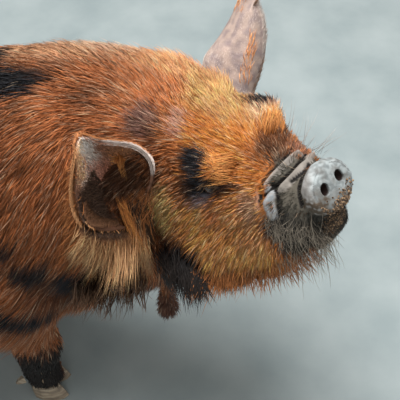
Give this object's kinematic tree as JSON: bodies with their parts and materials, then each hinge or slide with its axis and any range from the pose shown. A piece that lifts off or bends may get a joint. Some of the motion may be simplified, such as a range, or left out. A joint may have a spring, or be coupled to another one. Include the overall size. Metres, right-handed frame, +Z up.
{
  "type": "kunekune pig",
  "caption": "Life-size still kunekune pig standing square with its head raised and turned to its right, long bristly coat, cupped ears and wattles.",
  "frame": {"origin": "centre of the bounding box on the floor under the soles", "axes": "+X the way the body faces, +Y to the animal's left, +Z up"},
  "size_m": [1.1676, 0.4032, 0.5632],
  "materials": {
    "body_coat": "long bristly brown-orange hair with black patches and paler tips",
    "face_coat": "short bright orange hair, black patches at the eyes, grey snout with black-grey muzzle hair",
    "ear_skin": "dark thinly haired skin with pale rims",
    "horn": "pale worn hoof horn",
    "eye": "wet dark brown"
  },
  "bodies": {
    "root": {"claw_fore_left_inner": "horn", "claw_fore_left_outer": "horn", "claw_fore_right_inner": "horn", "claw_fore_right_outer": "horn", "claw_hind_left_inner": "horn", "claw_hind_left_outer": "horn", "claw_hind_right_inner": "horn", "claw_hind_right_outer": "horn", "dewclaw_fore_left_inner": "horn", "dewclaw_fore_left_outer": "horn", "dewclaw_fore_right_inner": "horn", "dewclaw_fore_right_outer": "horn", "dewclaw_hind_left_inner": "horn", "dewclaw_hind_left_outer": "horn", "dewclaw_hind_right_inner": "horn", "dewclaw_hind_right_outer": "horn", "ear_left": "ear_skin", "ear_right": "ear_skin", "eye_left": "eye", "eye_right": "eye", "head": "face_coat", "leg_fore_left": "body_coat", "leg_fore_right": "body_coat", "leg_hind_left": "body_coat", "leg_hind_right": "body_coat", "neck": "body_coat", "tail": "body_coat", "torso": "body_coat", "wattle_left": "ear_skin", "wattle_right": "ear_skin"}
  },
  "joints": []
}
